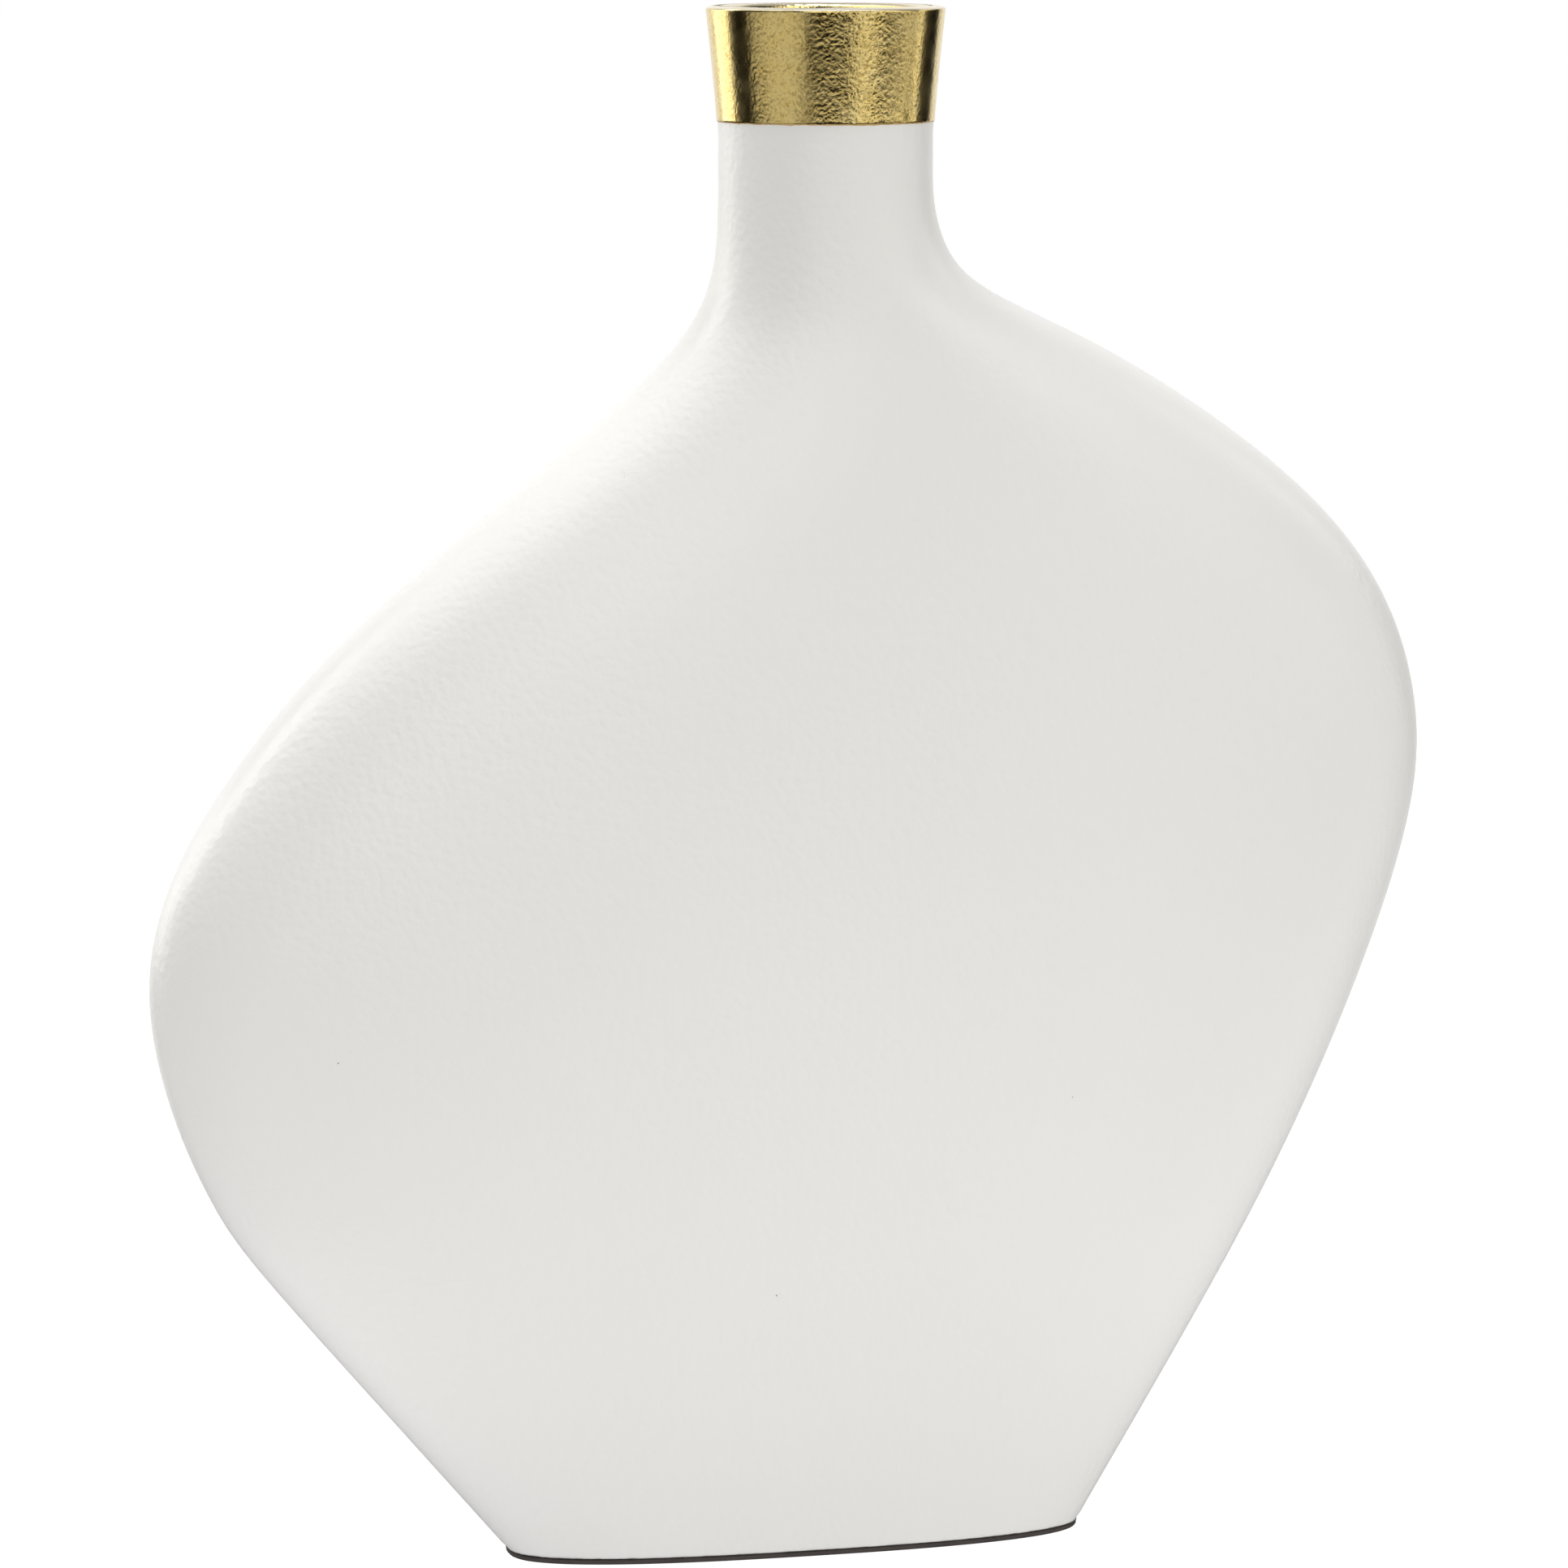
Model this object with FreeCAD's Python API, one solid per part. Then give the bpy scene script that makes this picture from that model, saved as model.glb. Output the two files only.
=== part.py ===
"""A flat, lopsided porcelain vase with a gilded neck, as separate closed solids in millimetres.

The origin is the centre of the foot pad's underside and +Z is up. The broad front face looks
along -Y, so +X runs to the right of somebody who faces it.
"""
import math
import os

import FreeCAD
import Part

# Foot pad and the film that holds it
PAD_THICKNESS = 1.1
PAD_EDGE_RADIUS = 0.8
FILM_THICKNESS = 0.1

# Foot: the flat ground ring of the porcelain, a rounded rectangle in plan
FOOT_HALF_LENGTH = 58.5
FOOT_HALF_DEPTH = 17.3
FOOT_HEIGHT = PAD_THICKNESS + FILM_THICKNESS

# Body: each side bulges at its own height, so the corners of the outlines are set apart
LEFT_CORNER_REACH = 136.0
LEFT_CORNER_HEIGHT = 118.5
RIGHT_CORNER_REACH = 131.0
RIGHT_CORNER_HEIGHT = 167.0
BELLY_CORNER_DEPTH = 35.5
BELLY_CORNER_HEIGHT = 150.0
WALL = 4.5
FLOOR = 6.0

# Neck: a round waist off the foot's centre, which flares to the lip
NECK_OFFSET = 6.5
WAIST_RADIUS = 21.0
WAIST_HEIGHT = 272.0
LIP_RADIUS = 24.0
LIP_WALL = 4.0
LIP_OUTER_ROUND = 0.8
LIP_INNER_ROUND = 1.6
TOTAL_HEIGHT = 305.0

# Throat: the straight run of the neck's inside, round the waist
THROAT_RADIUS = WAIST_RADIUS - WALL
THROAT_BELOW_WAIST = 14.0
THROAT_ABOVE_WAIST = 16.0
THROAT_BOTTOM = WAIST_HEIGHT - THROAT_BELOW_WAIST
THROAT_TOP = WAIST_HEIGHT + THROAT_ABOVE_WAIST

# Gilding: an ochre base coat on the glaze, and the leaf laid on it
COAT_THICKNESS = 0.08
LEAF_THICKNESS = 0.12
BAND_HEIGHT = 22.6
BAND_DEPTH_INSIDE = 5.0
COAT_SHOWING = 0.4
GILDING = COAT_THICKNESS + LEAF_THICKNESS

# Control points of the outlines, each a share of the way out and up between two corners
LEFT_FLANK = ((0.62, 0.48), (0.74, 0.56))
LEFT_SHOULDER = ((0.19, 0.265), (0.45, 0.485), (0.995, 0.79), (1.0, 0.89))
RIGHT_FLANK = ((0.25, 0.185), (0.59, 0.42), (0.97, 0.82))
RIGHT_SHOULDER = ((0.14, 0.35), (0.7, 0.715), (0.99, 0.8), (1.0, 0.96))
DEPTH_FLANK = ((0.31, 0.16), (0.81, 0.5))
DEPTH_SHOULDER = ((0.27, 0.53), (1.0, 0.8), (1.0, 0.9))

# Squareness of the plan sections: 2 is an ellipse, and more is nearer to a rectangle
FOOT_SQUARENESS = 2.55
BODY_SQUARENESS = 2.25
NECK_SQUARENESS = 2.0

SECTION_POINTS = 48
OUTER_STATIONS = 34
INNER_STATIONS = 24
STATION_GAP = 2.0
HEIGHT_TOLERANCE = 1e-9
EDGE_TOLERANCE = 0.01
SEAM_TOLERANCE = 0.001
UP = FreeCAD.Vector(0, 0, 1)


def between(low, high, share):
    """Return the value a share of the way from low to high."""
    return low + (high - low) * share


def outline(edges, corner, flank, shoulder):
    """Return the curve from the foot's edge round a bulge to the waist's edge.

    edges holds the signed offsets at foot and waist, and corner is the bulge's (offset, height).
    """
    foot_edge, waist_edge = edges
    offset, height = corner
    points = [(foot_edge, FOOT_HEIGHT)]
    for out, up in flank:
        points.append((between(foot_edge, offset, out), between(FOOT_HEIGHT, height, up)))
    points.append(corner)
    for out, up in shoulder:
        points.append((between(offset, waist_edge, out), between(height, WAIST_HEIGHT, up)))
    points.append((waist_edge, WAIST_HEIGHT))
    curve = Part.BSplineCurve()
    curve.buildFromPoles([FreeCAD.Vector(x, 0, z) for x, z in points], False, 3)
    return curve


def point_at(curve, height):
    """Return the curve's point at a height, by halving, since an outline only climbs."""
    low = 0.0
    high = 1.0
    while high - low > HEIGHT_TOLERANCE:
        middle = (low + high) / 2
        if curve.value(middle).z < height:
            low = middle
        else:
            high = middle
    return curve.value(low)


def squareness_at(height):
    """Return how square the plan section is at a height, down to a plain ellipse at the waist."""
    if height < BELLY_CORNER_HEIGHT:
        share = (height - FOOT_HEIGHT) / (BELLY_CORNER_HEIGHT - FOOT_HEIGHT)
        return between(FOOT_SQUARENESS, BODY_SQUARENESS, share)
    share = (height - BELLY_CORNER_HEIGHT) / (WAIST_HEIGHT - BELLY_CORNER_HEIGHT)
    return between(BODY_SQUARENESS, NECK_SQUARENESS, share)


def signed_power(value, power):
    """Raise a number's size to a power and keep its sign."""
    return math.copysign(abs(value) ** power, value)


def section(height, left, right, half_depth, squareness):
    """Return a closed plan section whose sides reach left, right and half_depth."""
    middle = (left + right) / 2
    half_length = (right - left) / 2
    points = []
    for index in range(SECTION_POINTS):
        angle = 2 * math.pi * index / SECTION_POINTS
        x = middle + half_length * signed_power(math.cos(angle), 2 / squareness)
        y = half_depth * signed_power(math.sin(angle), 2 / squareness)
        points.append(FreeCAD.Vector(x, y, height))
    steps = [index / SECTION_POINTS for index in range(SECTION_POINTS + 1)]
    curve = Part.BSplineCurve()
    curve.interpolate(Points=points, PeriodicFlag=True, Parameters=steps)
    return Part.Wire(curve.toShape())


def body_outlines():
    """Return the left, right and depth outlines of the porcelain's outside."""
    left = outline(
        (-FOOT_HALF_LENGTH, NECK_OFFSET - WAIST_RADIUS),
        (-LEFT_CORNER_REACH, LEFT_CORNER_HEIGHT), LEFT_FLANK, LEFT_SHOULDER)
    right = outline(
        (FOOT_HALF_LENGTH, NECK_OFFSET + WAIST_RADIUS),
        (RIGHT_CORNER_REACH, RIGHT_CORNER_HEIGHT), RIGHT_FLANK, RIGHT_SHOULDER)
    depth = outline(
        (FOOT_HALF_DEPTH, WAIST_RADIUS),
        (BELLY_CORNER_DEPTH, BELLY_CORNER_HEIGHT), DEPTH_FLANK, DEPTH_SHOULDER)
    return left, right, depth


def sections(outlines, heights):
    """Return the plan sections that left, right and depth outlines give at each height."""
    left, right, depth = outlines
    wires = []
    for height in heights:
        wires.append(section(
            height, point_at(left, height).x, point_at(right, height).x,
            point_at(depth, height).x, squareness_at(height)))
    return wires


def inset(outlines):
    """Return the outlines moved inwards by the wall, square to themselves."""
    left, right, depth = outlines
    across = FreeCAD.Vector(0, 1, 0)
    return (Part.OffsetCurve(left, -WALL, across), Part.OffsetCurve(right, WALL, across),
            Part.OffsetCurve(depth, WALL, across))


def stations(curve, count):
    """Return heights along an outline, closer together where the outline bends hard."""
    return [curve.value(index / (count - 1)).z for index in range(count)]


def body_outside():
    """Return the solid outside of the body from the ground foot to the waist."""
    outlines = body_outlines()
    heights = stations(outlines[1], OUTER_STATIONS)
    return Part.makeLoft(sections(outlines, heights), True)


def body_hollow():
    """Return the solid that fills the body's inside, from the floor to the throat's lower end."""
    outlines = inset(body_outlines())
    floor = FOOT_HEIGHT + FLOOR
    heights = [floor]
    for height in stations(outlines[1], INNER_STATIONS):
        if floor + STATION_GAP < height < THROAT_BOTTOM - STATION_GAP:
            heights.append(height)
    wires = sections(outlines, heights)
    wires.append(section(
        THROAT_BOTTOM, NECK_OFFSET - THROAT_RADIUS, NECK_OFFSET + THROAT_RADIUS,
        THROAT_RADIUS, NECK_SQUARENESS))
    return Part.makeLoft(wires, True)


def flare_edge(low, high):
    """Return a curve in the XZ plane that leaves low straight up and flares out to high."""
    pull = (low[0], between(low[1], high[1], 0.5))
    curve = Part.BezierCurve()
    curve.setPoles([FreeCAD.Vector(radius, 0, height) for radius, height in (low, pull, high)])
    return curve.toShape()


def neck(skin):
    """Return the neck above the waist with its lip rounded, grown by a skin on every side."""
    outer_foot = (WAIST_RADIUS + skin, WAIST_HEIGHT)
    outer_lip = (LIP_RADIUS + skin, TOTAL_HEIGHT - GILDING + skin)
    inner_lip = (LIP_RADIUS - LIP_WALL - skin, TOTAL_HEIGHT - GILDING + skin)
    throat_top = (THROAT_RADIUS - skin, THROAT_TOP)
    throat_foot = (THROAT_RADIUS - skin, WAIST_HEIGHT)
    edges = [
        flare_edge(outer_foot, outer_lip),
        line(outer_lip, inner_lip),
        flare_edge(throat_top, inner_lip),
        line(throat_top, throat_foot),
        line(throat_foot, outer_foot),
    ]
    profile = Part.Face(Part.Wire(Part.__sortEdges__(edges)))
    solid = profile.revolve(FreeCAD.Vector(), UP, 360)
    solid = rounded_at(solid, outer_lip, LIP_OUTER_ROUND + skin)
    solid = rounded_at(solid, inner_lip, LIP_INNER_ROUND + skin)
    solid.translate(FreeCAD.Vector(NECK_OFFSET, 0, 0))
    return solid


def line(start, end):
    """Return a straight edge in the XZ plane between two (radius, height) points."""
    return Part.makeLine(
        FreeCAD.Vector(start[0], 0, start[1]), FreeCAD.Vector(end[0], 0, end[1]))


def rounded_at(solid, corner, radius):
    """Round a revolved solid's circular edge at a (radius, height) corner."""
    corner_radius, corner_height = corner
    picked = []
    for edge in solid.Edges:
        level = abs(edge.BoundBox.ZMin - corner_height) + abs(edge.BoundBox.ZMax - corner_height)
        width = abs(edge.BoundBox.XMax - corner_radius)
        if level < EDGE_TOLERANCE and width < EDGE_TOLERANCE:
            picked.append(edge)
    return solid.makeFillet(radius, picked)


def porcelain_body():
    """Return the cast shell: body and neck in one piece, open down through the throat."""
    outside = body_outside().fuse((neck(0),), SEAM_TOLERANCE)
    throat = Part.makeCylinder(
        THROAT_RADIUS, THROAT_TOP - THROAT_BOTTOM,
        FreeCAD.Vector(NECK_OFFSET, 0, THROAT_BOTTOM), UP)
    inside = body_hollow().fuse((throat,), SEAM_TOLERANCE)
    return outside.cut(inside).removeSplitter()


def wall_core():
    """Return the space inside the middle of the neck's wall, over the neck's whole height."""
    low = (between(THROAT_RADIUS, WAIST_RADIUS, 0.5), WAIST_HEIGHT)
    high = (LIP_RADIUS - LIP_WALL / 2, TOTAL_HEIGHT + LIP_WALL)
    edges = [
        flare_edge(low, high),
        line(high, (0, high[1])),
        line((0, high[1]), (0, low[1])),
        line((0, low[1]), low),
    ]
    profile = Part.Face(Part.Wire(Part.__sortEdges__(edges)))
    core = profile.revolve(FreeCAD.Vector(), UP, 360)
    core.translate(FreeCAD.Vector(NECK_OFFSET, 0, 0))
    return core


def above(level):
    """Return a block round the neck that fills everything above a level."""
    reach = LIP_RADIUS + LIP_WALL
    centre = FreeCAD.Vector(NECK_OFFSET, 0, level)
    return Part.makeCylinder(reach, TOTAL_HEIGHT + LIP_WALL - level, centre, UP)


def gilding_layer(inner_skin, outer_skin, showing):
    """Return one thin layer over the lip, which shows this far past the leaf's two edges."""
    low_outside = TOTAL_HEIGHT - BAND_HEIGHT - showing
    low_inside = TOTAL_HEIGHT - BAND_DEPTH_INSIDE - showing
    layer = neck(outer_skin).cut(neck(inner_skin))
    bare_throat = wall_core().cut(above(low_inside))
    return layer.common(above(low_outside)).cut(bare_throat)


def gilding_base_coat():
    """Return the ochre coat under the leaf, which shows as a thin line below it."""
    return gilding_layer(0, COAT_THICKNESS, COAT_SHOWING)


def gold_leaf_band():
    """Return the leaf round the neck, over the lip and a little way down inside."""
    return gilding_layer(COAT_THICKNESS, GILDING, 0)


def foot_plate(low, thickness):
    """Return a plate with the foot's plan, standing on a level."""
    plan = section(low, -FOOT_HALF_LENGTH, FOOT_HALF_LENGTH, FOOT_HALF_DEPTH, FOOT_SQUARENESS)
    return Part.Face(plan).extrude(UP * thickness)


def pad_adhesive_film():
    """Return the film that holds the pad to the ground foot."""
    return foot_plate(PAD_THICKNESS, FILM_THICKNESS)


def foot_pad():
    """Return the pad under the foot, its lower edge rounded off."""
    plate = foot_plate(0, PAD_THICKNESS)
    lower = [edge for edge in plate.Edges if edge.BoundBox.ZMax < EDGE_TOLERANCE]
    return plate.makeFillet(PAD_EDGE_RADIUS, lower)


NODES = (foot_pad, pad_adhesive_film, porcelain_body, gilding_base_coat, gold_leaf_band)


def main():
    """Build every piece and write one file for each, named after its function."""
    os.makedirs("parts", exist_ok=True)
    for node in NODES:
        solid = node()
        solid.exportStep("parts/" + node.__name__ + ".step")


main()
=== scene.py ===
"""Looks for a flat porcelain vase with a gilded neck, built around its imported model.

Lengths are in metres, unless a name ends in _mm or a class says that its sizes are millimetres.
The frame is the model's own: +Z is up, the broad front face looks along -Y, and the origin is the
centre of the foot pad's underside.
"""

import logging
import math
from dataclasses import dataclass
from enum import Enum
from typing import Sequence

import bpy
import numpy as np
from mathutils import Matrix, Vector


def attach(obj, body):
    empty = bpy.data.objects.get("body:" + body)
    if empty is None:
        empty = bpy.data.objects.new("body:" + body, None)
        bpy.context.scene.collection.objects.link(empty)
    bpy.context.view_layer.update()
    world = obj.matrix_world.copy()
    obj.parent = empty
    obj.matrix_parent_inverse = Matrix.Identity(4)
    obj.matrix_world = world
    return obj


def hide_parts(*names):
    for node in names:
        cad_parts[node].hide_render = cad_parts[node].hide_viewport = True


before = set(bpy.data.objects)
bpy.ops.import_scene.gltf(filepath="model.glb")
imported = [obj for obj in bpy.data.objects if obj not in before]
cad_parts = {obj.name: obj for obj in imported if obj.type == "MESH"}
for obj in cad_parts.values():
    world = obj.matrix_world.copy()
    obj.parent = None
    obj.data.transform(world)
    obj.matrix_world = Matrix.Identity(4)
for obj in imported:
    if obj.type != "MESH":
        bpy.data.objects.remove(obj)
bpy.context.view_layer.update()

LOG = logging.getLogger("vase")
MM = 0.001
BODY = "root"

Settings = dict[str, object]
Profile = np.ndarray
Rings = np.ndarray


# ---------------------------------------------------------------- small tools


def linear(hex_colour: str, alpha: float = 1.0) -> tuple[float, float, float, float]:
    """Turn an sRGB hex colour into the linear values that shaders take.

    Args:
        hex_colour: colour such as "#c8a050".
        alpha: opacity, kept as it is.

    Returns:
        Linear red, green, blue and the alpha.
    """
    channels = []
    for start in (1, 3, 5):
        value = int(hex_colour[start:start + 2], 16) / 255
        channels.append(value / 12.92 if value <= 0.04045 else ((value + 0.055) / 1.055) ** 2.4)
    return (channels[0], channels[1], channels[2], alpha)


def per_size(size_mm: float) -> float:
    """Return the texture scale that gives features of a size in millimetres."""
    return 1 / (size_mm * MM)


def add_node(tree: bpy.types.NodeTree, kind: str, inputs: dict | None = None,
             **settings: object) -> bpy.types.Node:
    """Add a node with its settings, and set or link its inputs.

    Args:
        tree: node tree that gets the node.
        kind: the node's type name.
        inputs: a value, or the socket to link from, for each input by name or place.
        **settings: properties of the node itself.

    Returns:
        The new node.
    """
    node = tree.nodes.new(kind)
    for name, value in settings.items():
        setattr(node, name, value)
    for key, value in (inputs or {}).items():
        if isinstance(value, bpy.types.NodeSocket):
            tree.links.new(value, node.inputs[key])
        else:
            node.inputs[key].default_value = value
    return node


def new_material(name: str) -> tuple[bpy.types.Material, bpy.types.NodeTree, bpy.types.NodeSocket]:
    """Start an empty node material.

    Args:
        name: the material's name.

    Returns:
        The material, its tree, and Object coordinates to draw patterns with.
    """
    material = bpy.data.materials.new(name)
    material.use_nodes = True
    tree = material.node_tree
    tree.nodes.clear()
    place = add_node(tree, "ShaderNodeTexCoord").outputs["Object"]
    return material, tree, place


def finish_surface(tree: bpy.types.NodeTree, inputs: Settings) -> None:
    """Add the surface shader with these inputs and link it to the material's output."""
    shader = add_node(tree, "ShaderNodeBsdfPrincipled", inputs)
    add_node(tree, "ShaderNodeOutputMaterial", {"Surface": shader.outputs["BSDF"]})


def crumpling(tree: bpy.types.NodeTree, place: bpy.types.NodeSocket) -> bpy.types.NodeSocket:
    """Say how crumpled the leaf is from side to side of the neck.

    It was burnished most on the left, rubbed down on the right, and left rough between the two.

    Args:
        tree: shader or geometry tree to work in.
        place: the surface's own place.

    Returns:
        A socket that goes from about 0.25 where the leaf is smooth to 1.2 where it is roughest.
    """
    across = add_node(tree, "ShaderNodeSeparateXYZ", {"Vector": place}).outputs["X"]
    side = add_node(tree, "ShaderNodeMapRange", {
        "Value": across, 1: -14.5 * MM, 2: -11.0 * MM, 3: 0.25, 4: 0.42},
        interpolation_type="SMOOTHSTEP")
    rough = add_node(tree, "ShaderNodeMapRange", {
        "Value": across, 1: -2.5 * MM, 2: 3.0 * MM, 3: 0.0, 4: 0.75},
        interpolation_type="SMOOTHSTEP")
    rubbed = add_node(tree, "ShaderNodeMapRange", {
        "Value": across, 1: 10.5 * MM, 2: 14.0 * MM, 3: 1.0, 4: -0.15},
        interpolation_type="SMOOTHSTEP")
    middle = add_node(tree, "ShaderNodeMath", {
        0: rough.outputs["Result"], 1: rubbed.outputs["Result"]}, operation="MULTIPLY")
    return add_node(tree, "ShaderNodeMath", {
        0: side.outputs["Result"], 1: middle.outputs[0]}, operation="ADD").outputs[0]


def skin_rings(name: str, rings: Rings, closed: bool) -> bpy.types.Object:
    """Join rings of points into one closed shell.

    Args:
        name: the new object's name.
        rings: points as an array of rings, places round the ring, and x, y, z.
        closed: True joins the last ring to the first, False caps both ends.

    Returns:
        The new object, linked to the scene and shaded smooth.
    """
    rows, columns, _ = rings.shape
    index = np.arange(rows * columns).reshape(rows, columns)
    lower = index if closed else index[:-1]
    upper = np.roll(index, -1, axis=0) if closed else index[1:]
    quads = np.stack(
        [lower, np.roll(lower, -1, axis=1), np.roll(upper, -1, axis=1), upper], axis=-1)
    faces = quads.reshape(-1, 4).tolist()
    if not closed:
        faces.append(index[0][::-1].tolist())
        faces.append(index[-1].tolist())
    mesh = bpy.data.meshes.new(name)
    mesh.from_pydata(rings.reshape(-1, 3).tolist(), [], faces)
    mesh.validate()
    mesh.shade_smooth()
    made = bpy.data.objects.new(name, mesh)
    bpy.context.scene.collection.objects.link(made)
    return made


def run_nodes(source: bpy.types.Object, tree: bpy.types.NodeTree, settings: Settings) -> None:
    """Run a geometry tree on an object and keep the result as its plain mesh.

    Args:
        source: object whose mesh is worked on.
        tree: geometry tree to run.
        settings: value for each of the tree's named inputs.
    """
    modifier = source.modifiers.new(tree.name, "NODES")
    modifier.node_group = tree
    for item in tree.interface.items_tree:
        if item.item_type == "SOCKET" and item.name in settings:
            modifier[item.identifier] = settings[item.name]
    shown = bpy.context.evaluated_depsgraph_get()
    result = bpy.data.meshes.new_from_object(source.evaluated_get(shown), depsgraph=shown)
    source.modifiers.remove(modifier)
    source.data = result
    result.shade_smooth()


def geometry_tree(name: str, sizes: Sequence[str]) -> tuple[bpy.types.NodeTree, bpy.types.Node]:
    """Start a geometry tree with a mesh, a material and named sizes as its inputs.

    Args:
        name: the tree's name.
        sizes: names of its number inputs.

    Returns:
        The tree and its input node.
    """
    tree = bpy.data.node_groups.new(name, "GeometryNodeTree")
    face = tree.interface
    face.new_socket("Geometry", in_out="INPUT", socket_type="NodeSocketGeometry")
    face.new_socket("Finish", in_out="INPUT", socket_type="NodeSocketMaterial")
    for size in sizes:
        face.new_socket(size, in_out="INPUT", socket_type="NodeSocketFloat")
    face.new_socket("Geometry", in_out="OUTPUT", socket_type="NodeSocketGeometry")
    return tree, add_node(tree, "NodeGroupInput")


def end_geometry(tree: bpy.types.NodeTree, start: bpy.types.Node,
                 geometry: bpy.types.NodeSocket) -> None:
    """End a geometry tree with plain geometry that wears the tree's material input.

    Args:
        tree: the geometry tree.
        start: its input node.
        geometry: the socket that holds the finished geometry.
    """
    plain = add_node(tree, "GeometryNodeRealizeInstances", {"Geometry": geometry})
    dressed = add_node(tree, "GeometryNodeSetMaterial", {
        "Geometry": plain.outputs["Geometry"], "Material": start.outputs["Finish"]})
    add_node(tree, "NodeGroupOutput", {"Geometry": dressed.outputs["Geometry"]})


def declare(piece: bpy.types.Object, node: str) -> None:
    """Tell the frame what a finished piece rides on and stands for.

    Args:
        piece: the finished piece.
        node: the model node that it stands for.
    """
    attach(piece, BODY)
    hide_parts(node)
    LOG.info("%s: %d faces, stands for %s", piece.name, len(piece.data.polygons), node)


# ---------------------------------------------------------------- finishes


@dataclass(frozen=True)
class GlazedPorcelain:
    """White porcelain, slip-cast and dipped in a clear satin glaze.

    The glaze flows as it melts, which leaves a fine orange peel, and iron in the clay burns to
    small dark specks. The eye reads a soft, slightly warm white with a broad dull shine.
    """

    white: str = "#e9e8e6"
    warm: str = "#e7e5e1"
    speck: str = "#6f6a62"
    peel_mm: float = 1.6
    peel_height_mm: float = 0.15
    roughness: float = 0.36
    cloud_mm: float = 45.0
    speck_spacing_mm: float = 16.0
    speck_radius_mm: float = 0.22

    def material(self) -> bpy.types.Material:
        """Mix the glaze.

        Returns:
            Its material.
        """
        material, tree, place = new_material("glazed_porcelain_slip_cast")
        cloud = add_node(tree, "ShaderNodeTexNoise", {
            "Vector": place, "Scale": per_size(self.cloud_mm), "Detail": 3.0})
        body = add_node(tree, "ShaderNodeMix", {
            "Factor": cloud.outputs["Fac"], 6: linear(self.white), 7: linear(self.warm)},
            data_type="RGBA")
        cells = add_node(tree, "ShaderNodeTexVoronoi", {
            "Vector": place, "Scale": per_size(self.speck_spacing_mm), "Randomness": 1.0})
        near = self.speck_radius_mm / self.speck_spacing_mm
        speck = add_node(tree, "ShaderNodeMapRange", {
            "Value": cells.outputs["Distance"], 1: near * 0.6, 2: near, 3: 0.75, 4: 0.0},
            interpolation_type="SMOOTHSTEP")
        colour = add_node(tree, "ShaderNodeMix", {
            "Factor": speck.outputs["Result"], 6: body.outputs[2], 7: linear(self.speck)},
            data_type="RGBA")
        peel = add_node(tree, "ShaderNodeTexNoise", {
            "Vector": place, "Scale": per_size(self.peel_mm), "Detail": 1.0, "Roughness": 0.3})
        bump = add_node(tree, "ShaderNodeBump", {
            "Height": peel.outputs["Fac"], "Strength": 1.0,
            "Distance": self.peel_height_mm * MM})
        finish_surface(tree, {
            "Base Color": colour.outputs[2], "Roughness": self.roughness, "IOR": 1.5,
            "Normal": bump.outputs["Normal"]})
        return material


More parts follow.
